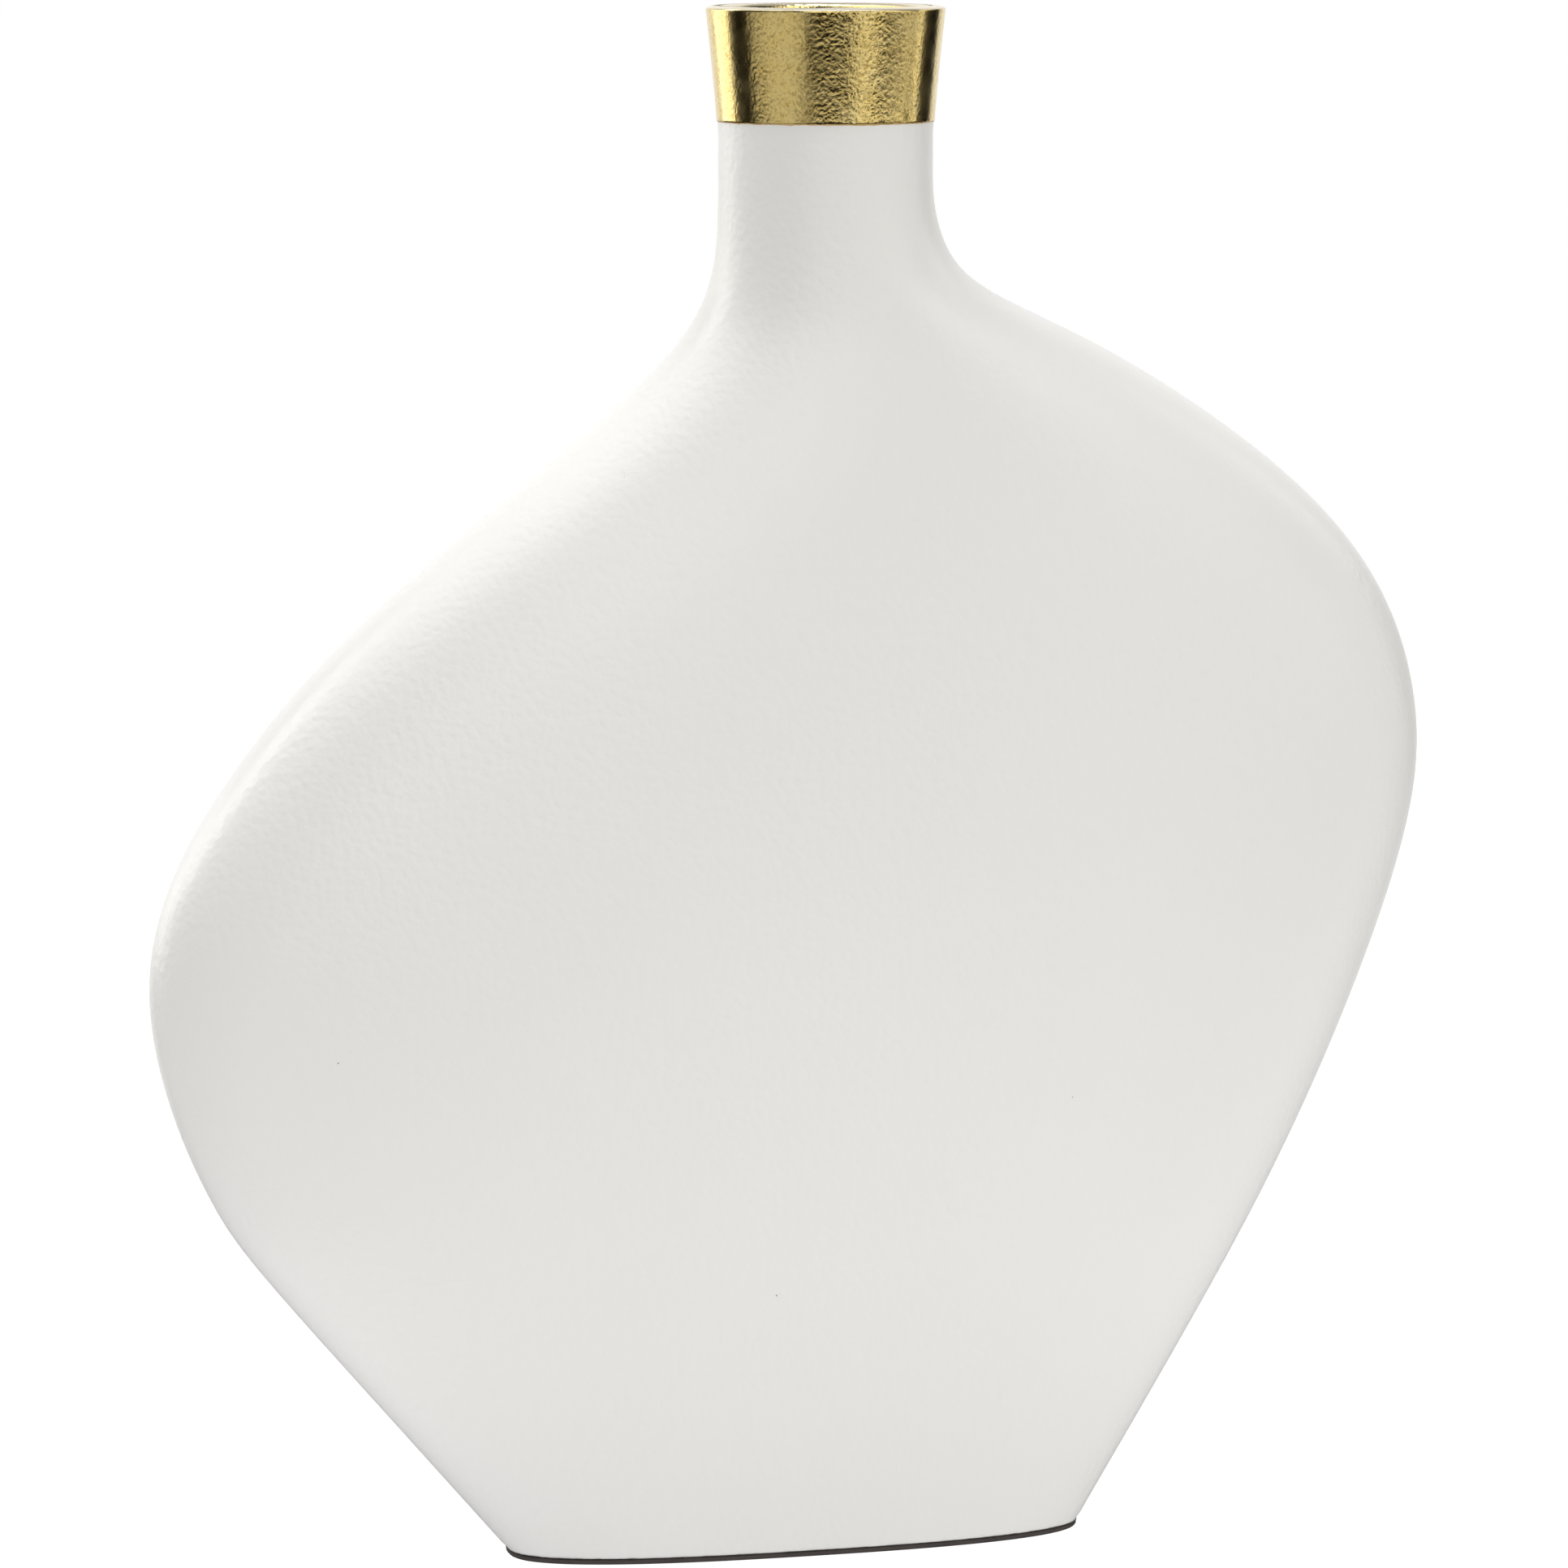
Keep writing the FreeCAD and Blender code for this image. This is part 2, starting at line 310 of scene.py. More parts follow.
@dataclass(frozen=True)
class BurnishedLeaf:
    """Gold-coloured metal leaf, laid by hand over a tacky size and only lightly burnished.

    The leaf wrinkles as it is pressed down, so it shines in many small crumpled lights, and its
    folds are painted a deeper brown-gold as painted shade. Thin spots let a little of the ochre
    coat through, and along the top of the lip it is rubbed nearly through.
    """

    gold: str = "#cfb468"
    pale: str = "#dfcd92"
    # deep is painted shade: the darker colour laid into the leaf's folds
    deep: str = "#8a6410"
    thin: str = "#a87a30"
    rubbed: str = "#d8cdb4"
    patch_mm: float = 4.0
    grain_mm: float = 0.35
    fold_mm: float = 0.9
    fold_height_mm: float = 0.1
    smoothest: float = 0.15
    dullest: float = 0.24
    rub_height: float = 0.30432
    rub_blend: float = 0.0003

    def material(self) -> bpy.types.Material:
        """Mix the leaf.

        Returns:
            Its material.
        """
        material, tree, place = new_material("metal_leaf_hand_laid")
        patch = add_node(tree, "ShaderNodeTexNoise", {
            "Vector": place, "Scale": per_size(self.patch_mm), "Detail": 4.0})
        shine = add_node(tree, "ShaderNodeMix", {
            "Factor": patch.outputs["Fac"], 6: linear(self.gold), 7: linear(self.pale)},
            data_type="RGBA")
        fold = add_node(tree, "ShaderNodeTexNoise", {
            "Vector": place, "Scale": per_size(self.fold_mm), "Detail": 2.0, "Distortion": 0.6})
        bent = add_node(tree, "ShaderNodeMath", {0: fold.outputs["Fac"], 1: 0.5},
                        operation="SUBTRACT")
        crest = add_node(tree, "ShaderNodeMath", {0: bent.outputs[0]}, operation="ABSOLUTE")
        # Painted shade: the leaf is darkened towards the deep colour in its folds.
        fold_shade = add_node(tree, "ShaderNodeMapRange", {
            "Value": crest.outputs[0], 1: 0.03, 2: 0.22, 3: 0.0, 4: 0.5})
        leaf_with_fold_shade = add_node(tree, "ShaderNodeMix", {
            "Factor": fold_shade.outputs["Result"], 6: shine.outputs[2], 7: linear(self.deep)},
            data_type="RGBA")
        grain = add_node(tree, "ShaderNodeTexNoise", {
            "Vector": place, "Scale": per_size(self.grain_mm), "Detail": 3.0, "Roughness": 0.6})
        worn = add_node(tree, "ShaderNodeMapRange", {
            "Value": grain.outputs["Fac"], 1: 0.66, 2: 0.8, 3: 0.0, 4: 0.7})
        colour = add_node(tree, "ShaderNodeMix", {
            "Factor": worn.outputs["Result"], 6: leaf_with_fold_shade.outputs[2], 7: linear(self.thin)},
            data_type="RGBA")
        rough = add_node(tree, "ShaderNodeMapRange", {
            "Value": patch.outputs["Fac"], 1: 0.3, 2: 0.7, 3: self.smoothest, 4: self.dullest})
        parts = add_node(tree, "ShaderNodeSeparateXYZ", {"Vector": place})
        fold_height = add_node(tree, "ShaderNodeMath", {
            0: crest.outputs[0], 1: crumpling(tree, place)}, operation="MULTIPLY")
        bump = add_node(tree, "ShaderNodeBump", {
            "Height": fold_height.outputs[0], "Strength": 1.0,
            "Distance": self.fold_height_mm * MM}, invert=True)
        rubbed = add_node(tree, "ShaderNodeMapRange", {
            "Value": parts.outputs["Z"], 1: self.rub_height,
            2: self.rub_height + self.rub_blend, 3: 0.0, 4: 1.0}, interpolation_type="SMOOTHSTEP")
        worn_lip = add_node(tree, "ShaderNodeMix", {
            "Factor": rubbed.outputs["Result"], 6: colour.outputs[2], 7: linear(self.rubbed)},
            data_type="RGBA")
        metal = add_node(tree, "ShaderNodeMapRange", {
            "Value": rubbed.outputs["Result"], 1: 0.0, 2: 1.0, 3: 1.0, 4: 0.4})
        finish_surface(tree, {
            "Base Color": worn_lip.outputs[2], "Metallic": metal.outputs["Result"],
            "Roughness": rough.outputs["Result"], "Normal": bump.outputs["Normal"]})
        return material


@dataclass(frozen=True)
class OchreSize:
    """Oil size tinted with ochre, brushed on by hand under the leaf.

    It dries to a thin satin film, which shows as a fine tan line with brush marks round the neck.
    """

    ochre: str = "#dcb877"
    deep: str = "#b58a44"
    brush_mm: float = 0.6

    def material(self) -> bpy.types.Material:
        """Mix the size.

        Returns:
            Its material.
        """
        material, tree, place = new_material("ochre_size_brushed")
        brush = add_node(tree, "ShaderNodeTexNoise", {
            "Vector": place, "Scale": per_size(self.brush_mm), "Detail": 4.0})
        colour = add_node(tree, "ShaderNodeMix", {
            "Factor": brush.outputs["Fac"], 6: linear(self.ochre), 7: linear(self.deep)},
            data_type="RGBA")
        bump = add_node(tree, "ShaderNodeBump", {
            "Height": brush.outputs["Fac"], "Strength": 0.4, "Distance": 0.03 * MM})
        finish_surface(tree, {
            "Base Color": colour.outputs[2], "Roughness": 0.42, "Normal": bump.outputs["Normal"]})
        return material


@dataclass(frozen=True)
class FoamRubber:
    """Closed-cell foam rubber sheet, die-cut to the foot.

    The cut edge opens the cells, so it is a dull brown-black with fine pits. The skin underneath
    is smoother and has a faint fabric print from the moulding belt.
    """

    black: str = "#3a3431"
    dusty: str = "#4d4642"
    cell_mm: float = 0.35
    print_mm: float = 0.9

    def material(self) -> bpy.types.Material:
        """Mix the foam.

        Returns:
            Its material.
        """
        material, tree, place = new_material("foam_rubber_die_cut")
        dust = add_node(tree, "ShaderNodeTexNoise", {
            "Vector": place, "Scale": per_size(6.0), "Detail": 5.0})
        colour = add_node(tree, "ShaderNodeMix", {
            "Factor": dust.outputs["Fac"], 6: linear(self.black), 7: linear(self.dusty)},
            data_type="RGBA")
        cells = add_node(tree, "ShaderNodeTexVoronoi", {
            "Vector": place, "Scale": per_size(self.cell_mm)})
        belt = add_node(tree, "ShaderNodeTexWave", {
            "Vector": place, "Scale": per_size(self.print_mm) / 6, "Distortion": 1.5})
        height = add_node(tree, "ShaderNodeMath", {
            0: cells.outputs["Distance"], 1: belt.outputs["Fac"]}, operation="ADD")
        bump = add_node(tree, "ShaderNodeBump", {
            "Height": height.outputs[0], "Strength": 0.5, "Distance": 0.06 * MM})
        finish_surface(tree, {
            "Base Color": colour.outputs[2], "Roughness": 0.82, "Normal": bump.outputs["Normal"]})
        return material


@dataclass(frozen=True)
class PadGlue:
    """Dark pressure-sensitive glue, squeezed out of the joint as the pad was pressed on; its dark
    colour is also painted shade of the joint.
    """

    # dark is partly the glue's own colour and partly painted shade of the joint between pad and
    # foot
    dark: str = "#26211f"
    grit_mm: float = 0.5

    def material(self) -> bpy.types.Material:
        """Mix the glue.

        Returns:
            Its material.
        """
        material, tree, place = new_material("contact_glue_and_joint_shade")
        grit = add_node(tree, "ShaderNodeTexNoise", {
            "Vector": place, "Scale": per_size(self.grit_mm), "Detail": 3.0})
        bump = add_node(tree, "ShaderNodeBump", {
            "Height": grit.outputs["Fac"], "Strength": 0.5, "Distance": 0.05 * MM})
        finish_surface(tree, {
            "Base Color": linear(self.dark), "Roughness": 0.55, "Normal": bump.outputs["Normal"]})
        return material


@dataclass(frozen=True)
class OpalAcrylic:
    """Opal acrylic sheet, cast smooth and lit evenly from beneath, so it reads as plain white."""

    body: str = "#505050"
    tint: str = "#ffffff"
    glow: float = 1.0

    def material(self) -> bpy.types.Material:
        """Mix the lit sheet.

        Returns:
            Its material.
        """
        material, tree, _ = new_material("opal_acrylic_backlit")
        finish_surface(tree, {
            "Base Color": linear(self.body), "Roughness": 0.9,
            "Emission Color": linear(self.tint), "Emission Strength": self.glow})
        return material


# ---------------------------------------------------------------- shape of the vase


def spline(name: str, points: Sequence[tuple[float, float]]) -> Profile:
    """Return many points of the smooth curve that a control polygon pulls.

    Args:
        name: name for the short-lived curve.
        points: the polygon as (offset, height) in millimetres.

    Returns:
        Points of the curve as (offset, height) in metres.
    """
    data = bpy.data.curves.new(name, "CURVE")
    data.dimensions = "3D"
    data.resolution_u = 48
    path = data.splines.new("NURBS")
    path.points.add(len(points) - 1)
    for point, (offset, height) in zip(path.points, points):
        point.co = (offset * MM, 0.0, height * MM, 1.0)
    path.order_u = 4
    path.use_endpoint_u = True
    holder = bpy.data.objects.new(name, data)
    mesh = bpy.data.meshes.new_from_object(holder)
    found = np.array([(vertex.co.x, vertex.co.z) for vertex in mesh.vertices])
    bpy.data.objects.remove(holder)
    bpy.data.meshes.remove(mesh)
    bpy.data.curves.remove(data)
    return found


def between(low: float, high: float, share: float) -> float:
    """Return the value a share of the way from low to high."""
    return low + (high - low) * share


def resample(path: Profile, count: int) -> Profile:
    """Return points evenly spaced along a polyline, ends included.

    Args:
        path: the polyline.
        count: how many points to return.

    Returns:
        The new points.
    """
    steps = np.linalg.norm(np.diff(path, axis=0), axis=1)
    run = np.concatenate([[0.0], np.cumsum(steps)])
    where = np.linspace(0.0, run[-1], count)
    return np.stack([np.interp(where, run, path[:, axis]) for axis in (0, 1)], axis=1)


def rounded(before: Sequence[float], corner: Sequence[float], after: Sequence[float],
            radius: float, steps: int) -> Profile:
    """Return the arc that rounds a polyline's corner.

    Args:
        before: a point that the polyline comes from.
        corner: the sharp corner.
        after: a point that the polyline goes to.
        radius: the arc's radius.
        steps: number of points on the arc.

    Returns:
        Points of the arc, in the polyline's order.
    """
    tip = np.asarray(corner)
    come = tip - np.asarray(before)
    go = np.asarray(after) - tip
    come = come / np.linalg.norm(come)
    go = go / np.linalg.norm(go)
    turn = math.acos(float(np.clip(come @ go, -1, 1)))
    reach = radius * math.tan(turn / 2)
    start = tip - come * reach
    side = go - come * (go @ come)
    side = side / np.linalg.norm(side)
    centre = start + side * radius
    angles = np.linspace(0.0, turn, steps)[:, None]
    return centre - side * radius * np.cos(angles) + come * radius * np.sin(angles)


def plan_section(columns: int, squareness: np.ndarray | float) -> tuple[np.ndarray, np.ndarray]:
    """Return the unit plan section, from a circle at squareness 2 to a rounded oblong above it.

    Args:
        columns: number of points round the section.
        squareness: one value, or a column of values for as many sections.

    Returns:
        How far each point is out to the side and how far in depth, from -1 to 1.
    """
    angle = np.linspace(0, 2 * math.pi, columns, endpoint=False)
    power = 2 / squareness
    out = np.sign(np.cos(angle)) * np.abs(np.cos(angle)) ** power
    deep = np.sign(np.sin(angle)) * np.abs(np.sin(angle)) ** power
    return out, deep


@dataclass
class VaseShape:
    """The sizes and outlines of the cast vase, in millimetres, from which every piece is cut."""

    foot_half_length: float = 58.5
    foot_half_depth: float = 17.3
    foot_height: float = 1.2
    left_corner: tuple[float, float] = (-136.0, 118.5)
    right_corner: tuple[float, float] = (131.0, 167.0)
    belly_corner: tuple[float, float] = (35.5, 150.0)
    left_flank: tuple = ((0.62, 0.48), (0.74, 0.56))
    left_shoulder: tuple = ((0.19, 0.265), (0.45, 0.485), (0.995, 0.79), (1.0, 0.89))
    right_flank: tuple = ((0.25, 0.185), (0.59, 0.42), (0.97, 0.82))
    right_shoulder: tuple = ((0.14, 0.35), (0.7, 0.715), (0.99, 0.8), (1.0, 0.96))
    depth_flank: tuple = ((0.31, 0.16), (0.81, 0.5))
    depth_shoulder: tuple = ((0.27, 0.53), (1.0, 0.8), (1.0, 0.9))
    foot_squareness: float = 2.55
    body_squareness: float = 2.25
    neck_squareness: float = 2.0
    neck_offset: float = 6.5
    waist_radius: float = 21.0
    waist_height: float = 272.0
    throat_bottom: float = 258.0
    throat_top: float = 288.0
    flare_height: float = 280.5
    flare_power: float = 1.2
    throat_power: float = 2.0
    lip_radius: float = 23.22
    lip_wall: float = 3.25
    lip_height: float = 304.8
    lip_crown: float = 0.65
    lip_fullness: float = 2.3
    lip_inner_round: float = 1.6
    wall: float = 4.5
    floor: float = 6.0

    def polygon(self, foot: float, corner: tuple[float, float], waist: float,
                flank: Sequence, shoulder: Sequence) -> list[tuple[float, float]]:
        """Return an outline's control polygon from the foot round the bulge to the waist.

        Args:
            foot: offset of the outline at the foot.
            corner: offset and height of the bulge's own control point.
            waist: offset of the outline at the waist.
            flank: points below the corner, as shares of the way out and up to it.
            shoulder: points above the corner, as shares of the way in and up to the waist.

        Returns:
            The control points as (offset, height).
        """
        points = [(foot, self.foot_height)]
        for out, up in flank:
            points.append((between(foot, corner[0], out), between(self.foot_height, corner[1], up)))
        points.append(corner)
        for out, up in shoulder:
            points.append((
                between(corner[0], waist, out), between(corner[1], self.waist_height, up)))
        points.append((waist, self.waist_height))
        return points

    def outlines(self) -> tuple[Profile, Profile, Profile]:
        """Draw the outlines of the outside.

        Returns:
            The left, right and depth outlines, in metres.
        """
        left = self.polygon(
            -self.foot_half_length, self.left_corner, self.neck_offset - self.waist_radius,
            self.left_flank, self.left_shoulder)
        right = self.polygon(
            self.foot_half_length, self.right_corner, self.neck_offset + self.waist_radius,
            self.right_flank, self.right_shoulder)
        depth = self.polygon(
            self.foot_half_depth, self.belly_corner, self.waist_radius,
            self.depth_flank, self.depth_shoulder)
        return spline("left", left), spline("right", right), spline("depth", depth)

    def inset(self, curve: Profile, side: float) -> Profile:
        """Return an outline moved by the wall, square to itself.

        Args:
            curve: the outline, in metres.
            side: 1 moves it to the right of its run, -1 to the left.

        Returns:
            The moved outline.
        """
        along = np.gradient(curve, axis=0)
        along /= np.linalg.norm(along, axis=1)[:, None]
        across = np.stack([along[:, 1], -along[:, 0]], axis=1)
        return curve + across * side * self.wall * MM

    def squareness(self, heights: np.ndarray) -> np.ndarray:
        """Work out how square the plan sections are.

        Args:
            heights: the sections' heights, in metres.

        Returns:
            The exponent at each height, where 2 is an ellipse.
        """
        marks = (self.foot_height * MM, self.belly_corner[1] * MM, self.waist_height * MM)
        return np.interp(heights, marks, (
            self.foot_squareness, self.body_squareness, self.neck_squareness))

    def sections(self, outlines: Sequence[Profile], heights: np.ndarray, columns: int) -> Rings:
        """Return plan sections between three outlines.

        Args:
            outlines: the left, right and depth outlines, in metres.
            heights: the height of each section, in metres.
            columns: number of points round a section.

        Returns:
            One ring for each height.
        """
        left, right, depth = (np.interp(heights, c[:, 1], c[:, 0]) for c in outlines)
        out, deep = plan_section(columns, self.squareness(heights)[:, None])
        x = ((left + right) / 2)[:, None] + ((right - left) / 2)[:, None] * out
        y = depth[:, None] * deep
        z = np.broadcast_to(heights[:, None], x.shape)
        return np.stack([x, y, z], axis=-1)

    def foot_ring(self, height: float, inset: float, columns: int) -> Rings:
        """Return one ring with the foot's plan.

        Args:
            height: height of the ring, in millimetres.
            inset: how far it is drawn in from the foot's edge, in millimetres.
            columns: number of points round it.

        Returns:
            The ring, in metres.
        """
        out, deep = plan_section(columns, self.foot_squareness)
        x = out * (self.foot_half_length - inset)
        y = deep * (self.foot_half_depth - inset)
        return (np.stack([x, y, np.full_like(x, height)], axis=-1) * MM)[None]

    def flare(self, low: tuple[float, float], high: tuple[float, float], power: float,
              count: int) -> Profile:
        """Return a curve that flares from one point up to another.

        Args:
            low: radius and height where it starts.
            high: radius and height where it ends.
            power: how late it opens, where 1 is a straight cone.
            count: number of points.

        Returns:
            Points as (radius, height).
        """
        share = np.linspace(0, 1, count)
        radius = low[0] + (high[0] - low[0]) * share ** power
        return np.stack([radius, low[1] + (high[1] - low[1]) * share], axis=1)

    def lip_profile(self, skin: float) -> Profile:
        """Return the neck's section from the waist outside, over the lip, to the throat.

        Args:
            skin: thickness in millimetres laid over the porcelain.

        Returns:
            Points as (radius from the neck's axis, height) in millimetres.
        """
        top = self.lip_height + skin
        outer = (self.lip_radius + skin, top - self.lip_crown)
        inner = (self.lip_radius - self.lip_wall - skin, top)
        neck = np.array([[self.waist_radius + skin, height] for height in np.linspace(
            self.waist_height, self.flare_height, 6)[:-1]])
        outside = np.concatenate([neck, self.flare(
            (self.waist_radius + skin, self.flare_height), outer, self.flare_power, 60)])
        throat = self.waist_radius - self.wall - skin
        inside = self.flare((throat, self.throat_top), inner, self.throat_power, 40)[::-1]
        inner_arc = rounded((outer[0], top), inner, inside[1], self.lip_inner_round + skin, 11)
        inside = inside[inside[:, 1] < inner_arc[-1, 1]]
        sweep = np.linspace(0, math.pi / 2, 40)
        reach = outer[0] - inner_arc[0, 0]
        crown = np.stack([
            inner_arc[0, 0] + reach * np.cos(sweep) ** (2 / self.lip_fullness),
            outer[1] + self.lip_crown * np.sin(sweep) ** (2 / self.lip_fullness)], axis=1)
        return np.concatenate([outside[:-1], crown, inner_arc[1:], inside])

    def turned(self, profile: Profile, columns: int) -> Rings:
        """Turn a profile round the neck's axis.

        Args:
            profile: points as (radius, height), in millimetres.
            columns: number of points round each ring.

        Returns:
            One ring for each point of the profile, in metres.
        """
        angle = np.linspace(0, 2 * math.pi, columns, endpoint=False)[None, :]
        radius = profile[:, :1]
        x = self.neck_offset + radius * np.cos(angle)
        y = radius * np.sin(angle)
        z = np.broadcast_to(profile[:, 1:], x.shape)
        return np.stack([x, y, z], axis=-1) * MM


# ---------------------------------------------------------------- the pieces


@dataclass
class PorcelainShell:
    """The cast shell: outside, lip, throat and hollow in one closed skin."""

    shape: VaseShape
    columns: int = 288
    outer_rows: int = 190
    neck_rows: int = 90
    inner_rows: int = 40
    foot_round_mm: float = 0.35
    sway_mm: float = 0.16
    sway_size_mm: float = 70.0
    sway_end: float = 0.245
    sway_fade: float = 0.2
    calm_foot: tuple[float, float] = (0.0015, 0.03)

    def outer_rings(self) -> Rings:
        """Lay out the outside of the body.

        Returns:
            Its rings, from under the foot up to the waist.
        """
        outlines = self.shape.outlines()
        right = resample(outlines[1], self.outer_rows)
        heights = right[:, 1]
        low = self.shape.foot_height
        body = self.shape.sections(outlines, heights[heights > (low + self.foot_round_mm) * MM],
                                   self.columns)
        turns = np.linspace(0, math.pi / 2, 4)
        foot = [self.shape.foot_ring(
            low + self.foot_round_mm * (1 - math.cos(turn)),
            self.foot_round_mm * (1 - math.sin(turn)), self.columns) for turn in turns]
        return np.concatenate([*foot, body])

    def inner_rings(self) -> Rings:
        """Lay out the hollow.

        Returns:
            Its rings, from the throat's lower end down to the floor.
        """
        left, right, depth = self.shape.outlines()
        inside = (self.shape.inset(left, 1), self.shape.inset(right, -1),
                  self.shape.inset(depth, -1))
        floor = (self.shape.foot_height + self.shape.floor) * MM
        top = (self.shape.throat_bottom - 2) * MM
        heights = np.linspace(top, floor, self.inner_rows)
        return self.shape.sections(inside, heights, self.columns)

    def rings(self) -> Rings:
        """Lay out the whole shell.

        Returns:
            Its rings in one run, from the foot over the lip to the floor.
        """
        lip = resample(self.shape.lip_profile(0.0), self.neck_rows)
        neck = self.shape.turned(lip[1:], self.columns)
        throat = self.shape.waist_radius - self.shape.wall
        heights = np.linspace(self.shape.throat_top, self.shape.throat_bottom, 8)[1:]
        straight = np.stack([np.full_like(heights, throat), heights], axis=1)
        return np.concatenate([
            self.outer_rings(), neck, self.shape.turned(straight, self.columns),
            self.inner_rings()])

    def sway_tree(self) -> bpy.types.NodeTree:
        """Give the cast walls the slow waves of drying and firing.

        Returns:
            The geometry tree.
        """
        tree, start = geometry_tree("cast_wall_sway", ("Sway", "Wave Size", "Neck Height"))
        place = add_node(tree, "GeometryNodeInputPosition")
        scale = add_node(tree, "ShaderNodeMath", {0: 1.0, 1: start.outputs["Wave Size"]},
                         operation="DIVIDE")
        noise = add_node(tree, "ShaderNodeTexNoise", {
            "Vector": place.outputs[0], "Scale": scale.outputs[0], "Detail": 1.0})
        centred = add_node(tree, "ShaderNodeMath", {0: noise.outputs["Fac"], 1: 0.5},
                           operation="SUBTRACT")
        parts = add_node(tree, "ShaderNodeSeparateXYZ", {"Vector": place.outputs[0]})
        low = add_node(tree, "ShaderNodeMapRange", {
            "Value": parts.outputs["Z"], 1: self.calm_foot[0], 2: self.calm_foot[1],
            3: 0.0, 4: 1.0},
            interpolation_type="SMOOTHSTEP")
        high = add_node(tree, "ShaderNodeMapRange", {
            "Value": parts.outputs["Z"], 1: self.sway_fade, 2: start.outputs["Neck Height"],
            3: 1.0, 4: 0.0},
            interpolation_type="SMOOTHSTEP")
        fade = add_node(tree, "ShaderNodeMath", {
            0: low.outputs["Result"], 1: high.outputs["Result"]}, operation="MULTIPLY")
        swing = add_node(tree, "ShaderNodeMath", {
            0: centred.outputs[0], 1: start.outputs["Sway"]}, operation="MULTIPLY")
        size = add_node(tree, "ShaderNodeMath", {0: swing.outputs[0], 1: fade.outputs[0]},
                        operation="MULTIPLY")
        normal = add_node(tree, "GeometryNodeInputNormal")
        offset = add_node(tree, "ShaderNodeVectorMath", {
            0: normal.outputs[0], "Scale": size.outputs[0]}, operation="SCALE")
        moved = add_node(tree, "GeometryNodeSetPosition", {
            "Geometry": start.outputs["Geometry"], "Offset": offset.outputs[0]})
        end_geometry(tree, start, moved.outputs["Geometry"])
        return tree

    def build(self, finish: bpy.types.Material) -> bpy.types.Object:
        """Build the shell in its finish.

        Args:
            finish: the glaze.

        Returns:
            The finished piece.
        """
        piece = skin_rings("porcelain_shell", self.rings(), closed=False)
        run_nodes(piece, self.sway_tree(), {
            "Finish": finish, "Sway": 2 * self.sway_mm * MM,
            "Wave Size": self.sway_size_mm * MM, "Neck Height": self.sway_end})
        declare(piece, "porcelain_body")
        return piece


class Layer(Enum):
    """The two hand-laid layers of the gilding, named after their model nodes."""

    SIZE = "gilding_base_coat"
    LEAF = "gold_leaf_band"


